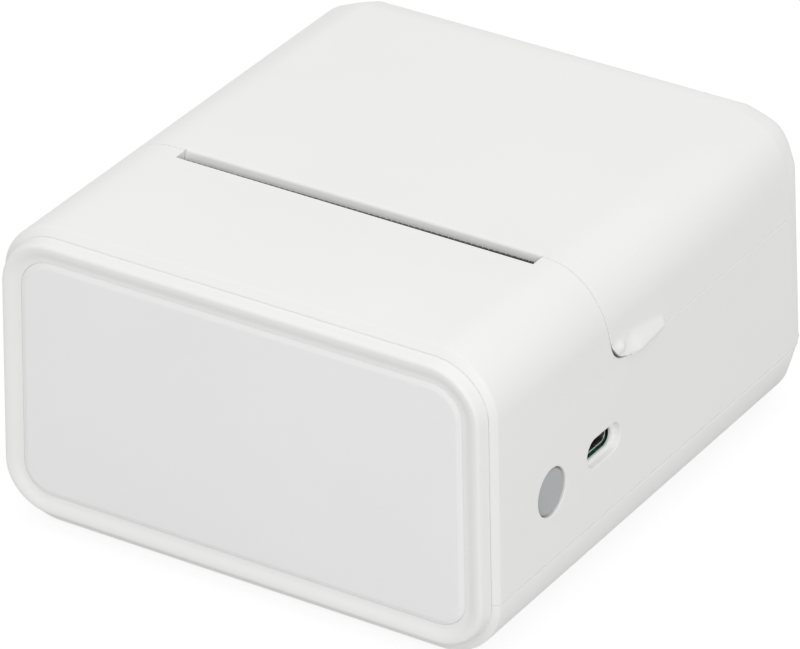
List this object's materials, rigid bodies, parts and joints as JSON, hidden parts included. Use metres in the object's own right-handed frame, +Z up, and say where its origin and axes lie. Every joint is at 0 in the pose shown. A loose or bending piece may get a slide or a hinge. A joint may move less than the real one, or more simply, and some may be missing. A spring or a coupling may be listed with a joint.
{
  "type": "thermal label printer",
  "caption": "Compact white thermal label printer: rounded box with a front bezel, top tear slot, hinged rear lid over a roll bay, side power button and charging port.",
  "frame": {"origin": "on the ground plane under the centre of the bounding box", "axes": "+X to the right as seen from the front, +Y from the front bezel to the back, +Z up"},
  "size_m": [0.118, 0.1328, 0.0676],
  "materials": {
    "shell": "satin",
    "panel": "satin",
    "inner": "matte",
    "guide": "matte",
    "button": "satin",
    "gear": "satin",
    "black_plastic": "matte",
    "board": "satin",
    "battery": "satin",
    "ceramic": "gloss",
    "rubber": "matte",
    "roller_rubber": "matte",
    "steel": "brushed",
    "black_steel": "satin",
    "frame": "satin",
    "heatsink": "satin",
    "brass": "satin"
  },
  "bodies": {
    "base": {"main_housing": "shell", "bottom_cover": "shell", "rubber_feet": "rubber", "cover_screws": "steel", "front_bezel": "shell", "front_panel": "panel", "hinge_pins": "steel", "mechanism_frame": "frame", "head_rod": "steel", "head_springs": "steel", "tear_bar": "black_steel", "latch_leaves": "steel", "stepper_motor": "frame", "gear_studs": "steel", "paper_sensor": "black_plastic", "bay_liner": "inner", "button_switch": "black_plastic", "main_board": "board", "board_parts": "black_plastic", "usb_port": "steel", "battery_pack": "battery"},
    "lid": {"lid": "shell", "platen_carrier": "inner", "carrier_screws": "steel", "platen_bushes": "brass"},
    "platen": {"platen_roller": "roller_rubber", "platen_shaft": "steel", "platen_gear": "gear"},
    "head": {"head_heatsink": "heatsink", "print_head": "ceramic"},
    "idler": {"idler_gear": "gear"},
    "reduction": {"reduction_gear": "gear"},
    "motor_rotor": {"motor_pinion": "brass"},
    "guide_left": {"roll_guide_left": "guide", "guide_rack_left": "gear"},
    "guide_right": {"roll_guide_right": "guide", "guide_rack_right": "gear"},
    "hub_left": {"roll_hub_left": "inner"},
    "hub_right": {"roll_hub_right": "inner"},
    "centring_pinion": {"guide_pinion": "gear"},
    "button": {"power_button": "button"}
  },
  "joints": [
    {"name": "lid_hinge", "type": "hinge", "parent": "base", "child": "lid", "pos_m": [0, 0.06144, 0.0454], "axis": [-1, 0, 0], "range_deg": [0, 90]},
    {"name": "platen_spin", "type": "hinge", "parent": "lid", "child": "platen", "pos_m": [0, -0.01745, 0.0528], "axis": [1, 0, 0], "continuous": true},
    {"name": "idler_spin", "type": "hinge", "parent": "base", "child": "idler", "pos_m": [0, -0.01745, 0.03984], "axis": [1, 0, 0], "continuous": true},
    {"name": "reduction_spin", "type": "hinge", "parent": "base", "child": "reduction", "pos_m": [0, -0.02954, 0.04241], "axis": [1, 0, 0], "continuous": true},
    {"name": "motor_spin", "type": "hinge", "parent": "base", "child": "motor_rotor", "pos_m": [0, -0.0416, 0.04241], "axis": [1, 0, 0], "continuous": true},
    {"name": "head_pivot", "type": "hinge", "parent": "base", "child": "head", "pos_m": [0, -0.02625, 0.03584], "axis": [1, 0, 0], "range_deg": [0, 3], "stiffness_Nm_per_rad": 0.3, "springref_deg": -5.73, "deforming": ["head_springs"]},
    {"name": "guide_left_slide", "type": "slide", "parent": "base", "child": "guide_left", "axis": [1, 0, 0], "range_m": [0, 0.03]},
    {"name": "guide_right_slide", "type": "slide", "parent": "base", "child": "guide_right", "axis": [-1, 0, 0], "range_m": [0, 0.03]},
    {"name": "centring_pinion_spin", "type": "hinge", "parent": "base", "child": "centring_pinion", "pos_m": [0, 0.02544, 0.0054], "axis": [0, 0, -1], "range_deg": [0, 268.58]},
    {"name": "hub_left_spin", "type": "hinge", "parent": "guide_left", "child": "hub_left", "pos_m": [-0.037, 0.02544, 0.0398], "axis": [1, 0, 0], "continuous": true},
    {"name": "hub_right_spin", "type": "hinge", "parent": "guide_right", "child": "hub_right", "pos_m": [0.037, 0.02544, 0.0398], "axis": [1, 0, 0], "continuous": true},
    {"name": "button_press", "type": "slide", "parent": "base", "child": "button", "axis": [-1, 0, 0], "range_m": [0, 0.0007], "stiffness_N_per_m": 1000, "springref_m": -0.0002}
  ],
  "couplings": [
    {"joint": "idler_spin", "follows": "platen_spin", "ratio": -0.65385},
    {"joint": "reduction_spin", "follows": "platen_spin", "ratio": 1.1333},
    {"joint": "motor_spin", "follows": "platen_spin", "ratio": -2.7524},
    {"joint": "guide_right_slide", "follows": "guide_left_slide", "ratio": 1},
    {"joint": "centring_pinion_spin", "follows": "guide_left_slide", "rad_per_m": 156.25}
  ]
}
